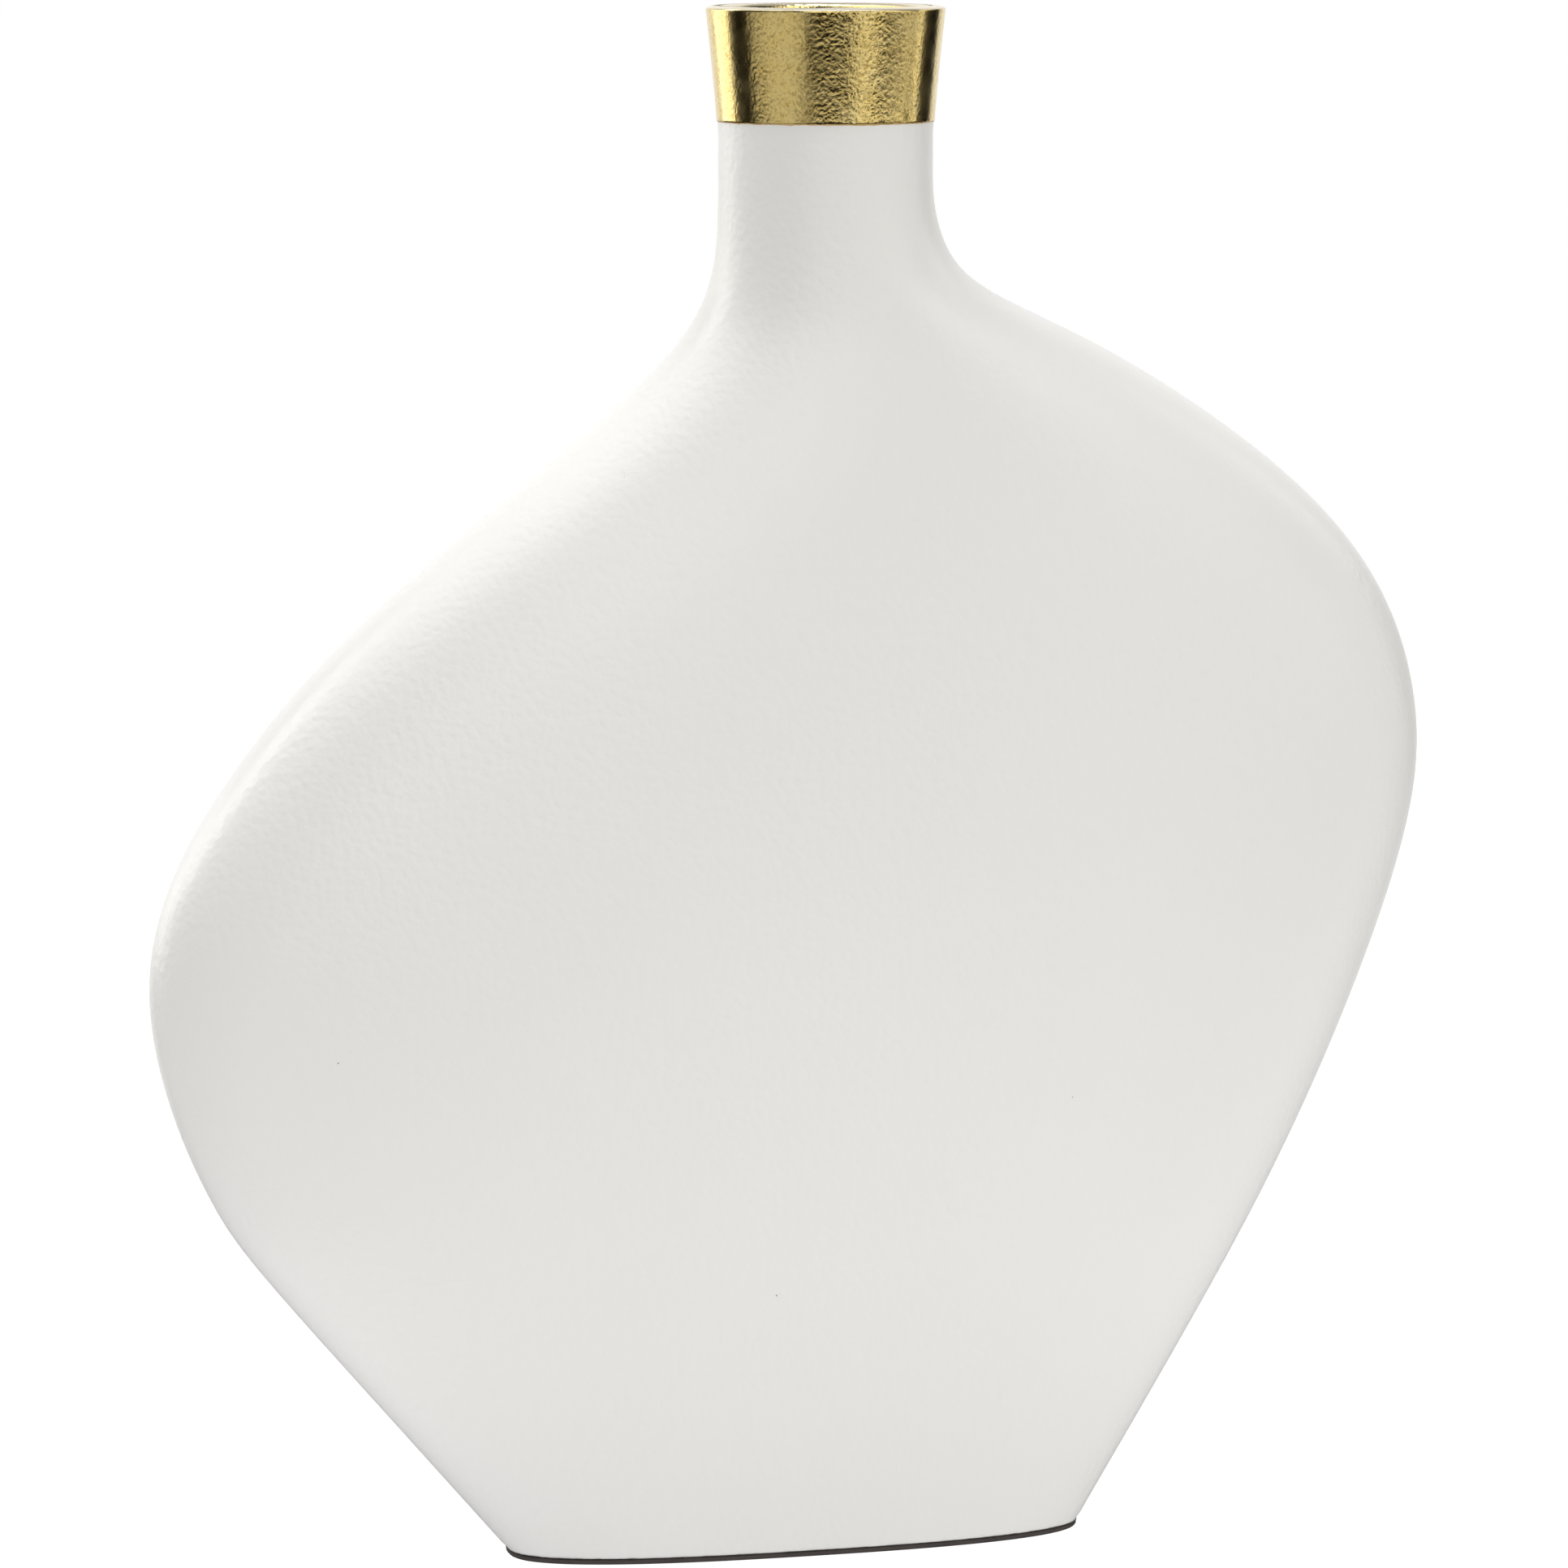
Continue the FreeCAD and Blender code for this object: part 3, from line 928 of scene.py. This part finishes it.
@dataclass
class Gilding:
    """The leaf round the neck and the ochre size under it."""

    shape: VaseShape
    total_height_mm: float = 305.0
    band_height_mm: float = 22.3
    band_inside_mm: float = 5.0
    size_showing_mm: float = 0.22
    size_skin_mm: float = 0.08
    leaf_skin_mm: float = 0.2
    grain_mm: float = 0.22
    inner_rows: int = 8
    under_rows: int = 12
    crumple_mm: float = 0.07
    crease_mm: float = 1.0
    leaf_fray_mm: tuple[float, float] = (0.5, 1.4)
    size_fray_mm: tuple[float, float] = (0.6, 2.2)

    def wrap(self, layer: Layer) -> Rings:
        """Return a layer's rings: up outside, over the lip, down inside, and back under itself.

        Args:
            layer: which of the two layers.

        Returns:
            The rings of its closed skin, in metres.
        """
        leaf = layer is Layer.LEAF
        showing = 0.0 if leaf else self.size_showing_mm
        over = self.leaf_skin_mm if leaf else self.size_skin_mm
        under = self.size_skin_mm if leaf else 0.0
        spacing = self.grain_mm if leaf else 2 * self.grain_mm
        low_out = self.total_height_mm - self.band_height_mm - showing
        low_in = self.total_height_mm - self.band_inside_mm - showing
        top = self.cut(self.shape.lip_profile(over), low_out, low_in)
        back = self.cut(self.shape.lip_profile(under), low_out, low_in)[::-1]
        rows = int(self.length(top) / spacing)
        path = resample(top, rows)
        hidden = path[int(np.argmax(path[:, 1])):]
        showing_side = path[:rows - len(hidden)]
        lip = int(self.shape.lip_inner_round / spacing)
        path = np.concatenate([
            showing_side, hidden[:lip], resample(hidden[lip:], self.inner_rows),
            resample(back, self.under_rows)])
        around = 2 * math.pi * self.shape.lip_radius
        return self.shape.turned(path, int(around / spacing))

    def length(self, path: Profile) -> float:
        """Return a polyline's length."""
        return float(np.linalg.norm(np.diff(path, axis=0), axis=1).sum())

    def cut(self, profile: Profile, low_out: float, low_in: float) -> Profile:
        """Cut the lip's profile off at one height outside and another inside.

        Args:
            profile: the profile, from the waist outside to the throat.
            low_out: the height it is cut at outside.
            low_in: the height it is cut at inside.

        Returns:
            The part of the profile above both cuts.
        """
        top = int(np.argmax(profile[:, 1]))
        outside, inside = profile[:top + 1], profile[top + 1:]
        start = (np.interp(low_out, outside[:, 1], outside[:, 0]), low_out)
        end = (np.interp(low_in, inside[::-1, 1], inside[::-1, 0]), low_in)
        return np.concatenate([
            [start], outside[outside[:, 1] > low_out], inside[inside[:, 1] > low_in], [end]])

    def crumple_tree(self) -> bpy.types.NodeTree:
        """Crumple the leaf and fray its lower edge.

        Returns:
            The geometry tree.
        """
        tree, start = geometry_tree(
            "leaf_crumple", ("Height", "Crease Size", "Fray", "Fray Size", "Edge Height"))
        place = add_node(tree, "GeometryNodeInputPosition").outputs[0]
        warp = add_node(tree, "ShaderNodeTexNoise", {
            "Vector": place, "Scale": per_size(2.5), "Detail": 2.0})
        shift = add_node(tree, "ShaderNodeVectorMath", {
            0: warp.outputs["Color"], 1: (0.5, 0.5, 0.5)}, operation="SUBTRACT")
        reach = add_node(tree, "ShaderNodeVectorMath", {
            0: shift.outputs[0], "Scale": 1.2 * MM}, operation="SCALE")
        warped = add_node(tree, "ShaderNodeVectorMath", {0: place, 1: reach.outputs[0]},
                          operation="ADD")
        scale = add_node(tree, "ShaderNodeMath", {0: 1.0, 1: start.outputs["Crease Size"]},
                         operation="DIVIDE")
        crease = add_node(tree, "ShaderNodeTexNoise", {
            "Vector": warped.outputs[0], "Scale": scale.outputs[0], "Detail": 2.0,
            "Roughness": 0.55}, noise_type="FBM")
        fold = add_node(tree, "ShaderNodeMath", {0: crease.outputs["Fac"], 1: 0.5},
                        operation="SUBTRACT")
        ridge = add_node(tree, "ShaderNodeMath", {0: fold.outputs[0]}, operation="ABSOLUTE")
        sharp = add_node(tree, "ShaderNodeMapRange", {
            "Value": ridge.outputs[0], 1: 0.0, 2: 0.14, 3: 1.0, 4: 0.0})
        calm = add_node(tree, "ShaderNodeTexNoise", {
            "Vector": place, "Scale": per_size(9.0), "Detail": 1.0})
        calmed = add_node(tree, "ShaderNodeMapRange", {
            "Value": calm.outputs["Fac"], 1: 0.36, 2: 0.56, 3: 0.5, 4: 1.0})
        swell = add_node(tree, "ShaderNodeMath", {
            0: sharp.outputs["Result"], 1: calmed.outputs["Result"]}, operation="MULTIPLY")
        sided = add_node(tree, "ShaderNodeMath", {
            0: swell.outputs[0], 1: crumpling(tree, place)}, operation="MULTIPLY")
        out = add_node(tree, "ShaderNodeMath", {
            0: sided.outputs[0], 1: start.outputs["Height"]}, operation="MULTIPLY")
        normal = add_node(tree, "GeometryNodeInputNormal").outputs[0]
        rise = add_node(tree, "ShaderNodeVectorMath", {0: normal, "Scale": out.outputs[0]},
                        operation="SCALE")
        top = add_node(tree, "GeometryNodeInputNamedAttribute", {"Name": "top"},
                       data_type="BOOLEAN")
        lifted = add_node(tree, "GeometryNodeSetPosition", {
            "Geometry": start.outputs["Geometry"], "Selection": top.outputs["Attribute"],
            "Offset": rise.outputs[0]})
        fray_scale = add_node(tree, "ShaderNodeMath", {0: 1.0, 1: start.outputs["Fray Size"]},
                              operation="DIVIDE")
        parts = add_node(tree, "ShaderNodeSeparateXYZ", {"Vector": place})
        flat = add_node(tree, "ShaderNodeCombineXYZ", {
            "X": parts.outputs["X"], "Y": parts.outputs["Y"]})
        tatter = add_node(tree, "ShaderNodeTexNoise", {
            "Vector": flat.outputs[0], "Scale": fray_scale.outputs[0], "Detail": 5.0,
            "Roughness": 0.65})
        drop = add_node(tree, "ShaderNodeMath", {0: tatter.outputs["Fac"], 1: 0.5},
                        operation="SUBTRACT")
        above = add_node(tree, "ShaderNodeMath", {
            0: parts.outputs["Z"], 1: start.outputs["Edge Height"]}, operation="SUBTRACT")
        near = add_node(tree, "ShaderNodeMapRange", {
            "Value": above.outputs[0], 1: 0.0, 2: 0.0012, 3: 1.0, 4: 0.0})
        amount = add_node(tree, "ShaderNodeMath", {
            0: drop.outputs[0], 1: near.outputs["Result"]}, operation="MULTIPLY")
        frayed = add_node(tree, "ShaderNodeMath", {
            0: amount.outputs[0], 1: start.outputs["Fray"]}, operation="MULTIPLY")
        down = add_node(tree, "ShaderNodeCombineXYZ", {"Z": frayed.outputs[0]})
        torn = add_node(tree, "GeometryNodeSetPosition", {
            "Geometry": lifted.outputs["Geometry"], "Offset": down.outputs[0]})
        end_geometry(tree, start, torn.outputs["Geometry"])
        return tree

    def mark_top(self, piece: bpy.types.Object, rings: Rings) -> None:
        """Mark the points of the layer's open side, which the creases may lift.

        Args:
            piece: the layer's object.
            rings: the rings that it was made from.
        """
        rows, columns, _ = rings.shape
        marks = np.zeros((rows, columns), dtype=bool)
        marks[1:rows - self.under_rows - 1] = True
        attribute = piece.data.attributes.new("top", "BOOLEAN", "POINT")
        attribute.data.foreach_set("value", marks.ravel())

    def build(self, layer: Layer, finish: bpy.types.Material) -> bpy.types.Object:
        """Build one layer in its finish.

        Args:
            layer: which of the two.
            finish: its material.

        Returns:
            The finished piece.
        """
        leaf = layer is Layer.LEAF
        rings = self.wrap(layer)
        piece = skin_rings("leaf_wrap" if leaf else "ochre_size_line", rings, closed=True)
        self.mark_top(piece, rings)
        showing = 0.0 if leaf else self.size_showing_mm
        edge = self.total_height_mm - self.band_height_mm - showing
        fray, fray_size = self.leaf_fray_mm if leaf else self.size_fray_mm
        run_nodes(piece, self.crumple_tree(), {
            "Finish": finish, "Height": (self.crumple_mm if leaf else 0.0) * MM,
            "Crease Size": self.crease_mm * MM, "Fray": fray * MM, "Fray Size": fray_size * MM,
            "Edge Height": edge * MM})
        declare(piece, layer.value)
        return piece


@dataclass
class FootPad:
    """The foam pad under the foot, and the line of glue that holds it."""

    shape: VaseShape
    pad_mm: float = 1.1
    edge_round_mm: float = 0.8
    film_mm: float = 0.1
    pad_ragged_mm: tuple[float, float] = (0.22, 1.2)
    film_ragged_mm: tuple[float, float] = (0.5, 2.6)
    columns: int = 720

    def pad_rings(self) -> Rings:
        """Lay out the pad.

        Returns:
            Its rings, from the middle of its underside to the middle of its top.
        """
        turns = np.linspace(0, math.pi / 2, 6)
        inner = [self.shape.foot_ring(0.0, inset, self.columns) for inset in (9.0, 4.0, 1.6)]
        edge = [self.shape.foot_ring(
            self.edge_round_mm * (1 - math.cos(turn)),
            self.edge_round_mm * (1 - math.sin(turn)), self.columns) for turn in turns]
        side = [self.shape.foot_ring(height, 0.0, self.columns) for height in (0.95, self.pad_mm)]
        top = [self.shape.foot_ring(self.pad_mm, inset, self.columns) for inset in (0.4, 4.0)]
        return np.concatenate([*inner, *edge, *side, *top])

    def film_rings(self) -> Rings:
        """Lay out the glue film, its edge swollen where it squeezed out.

        Returns:
            Its rings, in metres.
        """
        low = self.pad_mm
        high = self.pad_mm + self.film_mm
        parts = [
            (low, 4.0), (low, 0.5), (low - 0.02, 0.02), (low + 0.02, -0.08), (high, -0.1),
            (high + 0.08, -0.05), (high + 0.1, 0.03), (high, 0.5), (high, 4.0)]
        return np.concatenate([
            self.shape.foot_ring(height, inset, self.columns) for height, inset in parts])

    def ragged_tree(self) -> bpy.types.NodeTree:
        """Make a cut or squeezed edge uneven.

        Returns:
            The geometry tree.
        """
        tree, start = geometry_tree("ragged_edge", ("Amount", "Lump Size", "Lowest", "Highest"))
        place = add_node(tree, "GeometryNodeInputPosition").outputs[0]
        scale = add_node(tree, "ShaderNodeMath", {0: 1.0, 1: start.outputs["Lump Size"]},
                         operation="DIVIDE")
        lump = add_node(tree, "ShaderNodeTexNoise", {
            "Vector": place, "Scale": scale.outputs[0], "Detail": 4.0, "Roughness": 0.6})
        swing = add_node(tree, "ShaderNodeMath", {0: lump.outputs["Fac"], 1: 0.5},
                         operation="SUBTRACT")
        size = add_node(tree, "ShaderNodeMath", {
            0: swing.outputs[0], 1: start.outputs["Amount"]}, operation="MULTIPLY")
        normal = add_node(tree, "GeometryNodeInputNormal").outputs[0]
        push = add_node(tree, "ShaderNodeVectorMath", {0: normal, "Scale": size.outputs[0]},
                        operation="SCALE")
        parts = add_node(tree, "ShaderNodeSeparateXYZ", {"Vector": place})
        over = add_node(tree, "FunctionNodeCompare", {
            0: parts.outputs["Z"], 1: start.outputs["Lowest"]}, operation="GREATER_THAN")
        below = add_node(tree, "FunctionNodeCompare", {
            0: parts.outputs["Z"], 1: start.outputs["Highest"]}, operation="LESS_THAN")
        free = add_node(tree, "FunctionNodeBooleanMath", {
            0: over.outputs[0], 1: below.outputs[0]}, operation="AND")
        moved = add_node(tree, "GeometryNodeSetPosition", {
            "Geometry": start.outputs["Geometry"], "Selection": free.outputs[0],
            "Offset": push.outputs[0]})
        end_geometry(tree, start, moved.outputs["Geometry"])
        return tree

    def build_pad(self, finish: bpy.types.Material) -> bpy.types.Object:
        """Build the foam pad.

        Args:
            finish: the foam rubber.

        Returns:
            The finished piece.
        """
        piece = skin_rings("foam_pad", self.pad_rings(), closed=False)
        amount, lump = self.pad_ragged_mm
        run_nodes(piece, self.ragged_tree(), {
            "Finish": finish, "Amount": amount * MM, "Lump Size": lump * MM,
            "Lowest": 0.05 * MM, "Highest": 1.05 * MM})
        declare(piece, "foot_pad")
        return piece

    def build_film(self, finish: bpy.types.Material) -> bpy.types.Object:
        """Build the glue line.

        Args:
            finish: the glue.

        Returns:
            The finished piece.
        """
        piece = skin_rings("glue_line", self.film_rings(), closed=False)
        amount, lump = self.film_ragged_mm
        run_nodes(piece, self.ragged_tree(), {
            "Finish": finish, "Amount": amount * MM, "Lump Size": lump * MM,
            "Lowest": (self.pad_mm + 0.01) * MM, "Highest": 1.0})
        declare(piece, "pad_adhesive_film")
        return piece


# ---------------------------------------------------------------- studio


@dataclass(frozen=True)
class SoftPanel:
    """An evenly lit studio panel that faces the vase from all of its distance away.

    Angles are in degrees as seen from the vase. bearing goes round from the camera's side and is
    positive to its right, rise is upward, glow is the brightness of the panel's face.
    """

    name: str
    bearing: float
    rise: float
    span: float
    tall: float
    glow: float
    tint: str = "#ffffff"
    distance: float = 1.3

    def hang(self, camera_azimuth: float, target: Vector) -> None:
        """Put the panel in the scene, turned to the target.

        Args:
            camera_azimuth: the camera's own bearing in degrees.
            target: the point that the panel faces.
        """
        data = bpy.data.lights.new(self.name, "AREA")
        data.shape = "RECTANGLE"
        data.size = 2 * self.distance * math.tan(math.radians(self.span / 2))
        data.size_y = 2 * self.distance * math.tan(math.radians(self.tall / 2))
        data.energy = self.glow * math.pi * data.size * data.size_y
        data.color = linear(self.tint)[:3]
        light = bpy.data.objects.new(self.name, data)
        around = math.radians(camera_azimuth + self.bearing)
        up = math.radians(self.rise)
        toward = Vector((math.cos(up) * math.sin(around), -math.cos(up) * math.cos(around),
                         math.sin(up)))
        light.location = target + toward * self.distance
        light.rotation_mode = "QUATERNION"
        light.rotation_quaternion = toward.to_track_quat("Z", "Y")
        light.visible_camera = False
        bpy.context.scene.collection.objects.link(light)


@dataclass(frozen=True)
class SoftBank:
    """A bank of equal soft panels, side by side from one bearing to another, both included."""

    name: str
    rise: float
    tall: float
    first: int
    last: int
    glow: float
    span: int = 10
    tint: str = "#fffefa"

    def hang(self, camera_azimuth: float, target: Vector) -> None:
        """Put the bank's panels in the scene.

        Args:
            camera_azimuth: the camera's bearing, in degrees.
            target: the point that they face.
        """
        for bearing in range(self.first, self.last + 1, self.span):
            SoftPanel(f"{self.name}_{bearing}", bearing, self.rise, self.span, self.tall,
                      self.glow, self.tint).hang(camera_azimuth, target)


@dataclass
class Studio:
    """A white sweep, a lit table top, banks of soft panels and the camera."""

    azimuth: float = -15.0
    distance: float = 1.45
    camera_height: float = 0.3415
    aim: tuple[float, float, float] = (-0.0019, 0.0, 0.1521)
    lens: float = 170.0
    sweep_half: float = 30.0
    sweep_height: float = -0.0004
    table_height: float = -0.0002
    table_tint: str = "#fcfdff"
    table_edges: tuple[float, ...] = (0.01, 0.1, 0.25, 0.5)
    table_glows: tuple[float, ...] = (0.9, 1.2, 1.1)
    banks: tuple[SoftBank, ...] = (
        SoftBank("low_left_fill", -15, 24, -75, -25, 0.8),
        SoftBank("low_right_fill", -15, 24, 35, 45, 0.9),
        SoftBank("low_right_edge", -15, 24, 95, 95, 1.2),
        SoftBank("left_rim", 6, 20, -135, -115, 2.5),
        SoftBank("left_front", 6, 20, -55, -35, 0.5),
        SoftBank("front", 6, 20, -15, 25, 0.9),
        SoftBank("right_front", 6, 20, 35, 85, 1.3),
        SoftBank("right_rim", 6, 20, 105, 105, 1.7),
        SoftBank("left_key", 27, 26, -115, -105, 4.5),
        SoftBank("high_front", 27, 26, -15, 15, 1.8),
        SoftBank("high_right", 27, 26, 55, 75, 0.9),
        SoftBank("high_right_rim", 27, 26, 115, 125, 1.5),
        SoftBank("upper_left", 55, 34, -135, -55, 1.2),
        SoftBank("upper_front", 55, 34, -45, -15, 0.3),
        SoftBank("upper_right", 55, 34, 45, 75, 1.4),
        SoftBank("back_left", 12, 60, -160, -160, 1.1, span=36),
        SoftBank("back_right", 12, 60, 160, 160, 1.1, span=36),
        SoftBank("overhead", 89, 26, 0, 0, 6.5, span=26, tint="#f0f5ff"),
    )

    def add_sweep(self) -> None:
        """Lay the white sweep that only the camera sees."""
        half = self.sweep_half
        corners = [(x, y, self.sweep_height) for x, y in (
            (-half, -half), (half, -half), (half, half), (-half, half))]
        sweep = self.lay("white_sweep", corners, [(0, 1, 2, 3)], OpalAcrylic(glow=1.0))
        sweep.visible_diffuse = False
        sweep.visible_shadow = False

    def add_table(self) -> None:
        """Lay the lit table top in rings, each with its own glow."""
        steps = 96
        turns = np.linspace(0, 2 * math.pi, steps, endpoint=False)
        around = np.stack([np.cos(turns), np.sin(turns)], axis=1)
        spans = zip(self.table_edges, self.table_edges[1:], self.table_glows)
        for place, (inner, outer, glow) in enumerate(spans):
            points = [(x * radius, y * radius, self.table_height)
                      for radius in (inner, outer) for x, y in around]
            faces = [(k, k + steps, (k + 1) % steps + steps, (k + 1) % steps)
                     for k in range(steps)]
            ring = self.lay(f"table_ring_{place}", points, faces,
                            OpalAcrylic(tint=self.table_tint, glow=glow))
            ring.visible_camera = False

    def lay(self, name: str, points: list, faces: list, finish: OpalAcrylic) -> bpy.types.Object:
        """Add one flat piece of the stage.

        Args:
            name: the object's name.
            points: its corners.
            faces: corners of each face.
            finish: the lit sheet that it is made of.

        Returns:
            The new object, kept out of reflections.
        """
        mesh = bpy.data.meshes.new(name)
        mesh.from_pydata(points, [], faces)
        mesh.materials.append(finish.material())
        made = bpy.data.objects.new(name, mesh)
        bpy.context.scene.collection.objects.link(made)
        made.visible_glossy = False
        return made

    def darken_room(self) -> None:
        """Keep the room itself dark, so that only the panels and the table light the vase."""
        world = bpy.data.worlds.new("studio_room")
        world.use_nodes = True
        world.node_tree.nodes.clear()
        room = add_node(world.node_tree, "ShaderNodeBackground", {"Strength": 0.0})
        add_node(world.node_tree, "ShaderNodeOutputWorld", {"Surface": room.outputs[0]})
        bpy.context.scene.world = world

    def add_camera(self) -> None:
        """Stand the camera in front, a little to the vase's left, and look slightly down."""
        data = bpy.data.cameras.new("camera")
        data.lens = self.lens
        data.clip_start = 0.1
        data.clip_end = 100.0
        camera = bpy.data.objects.new("camera", data)
        around = math.radians(self.azimuth)
        camera.location = (self.distance * math.sin(around), -self.distance * math.cos(around),
                           self.camera_height)
        look = Vector(self.aim) - camera.location
        camera.rotation_mode = "QUATERNION"
        camera.rotation_quaternion = look.to_track_quat("-Z", "Y")
        bpy.context.scene.collection.objects.link(camera)
        bpy.context.scene.camera = camera

    def build(self) -> None:
        """Set up the whole studio."""
        self.add_sweep()
        self.add_table()
        self.darken_room()
        for bank in self.banks:
            bank.hang(self.azimuth, Vector(self.aim))
        self.add_camera()
        bpy.context.scene.view_settings.view_transform = "Standard"
        LOG.info("studio: %d banks of panels", len(self.banks))


def main() -> None:
    """Build the vase piece by piece, then the studio round it."""
    logging.basicConfig(level=logging.INFO, format="%(message)s")
    shape = VaseShape()
    PorcelainShell(shape).build(GlazedPorcelain().material())
    gilding = Gilding(shape)
    gilding.build(Layer.SIZE, OchreSize().material())
    gilding.build(Layer.LEAF, BurnishedLeaf().material())
    pad = FootPad(shape)
    pad.build_film(PadGlue().material())
    pad.build_pad(FoamRubber().material())
    Studio().build()


if __name__ == "__main__":
    main()
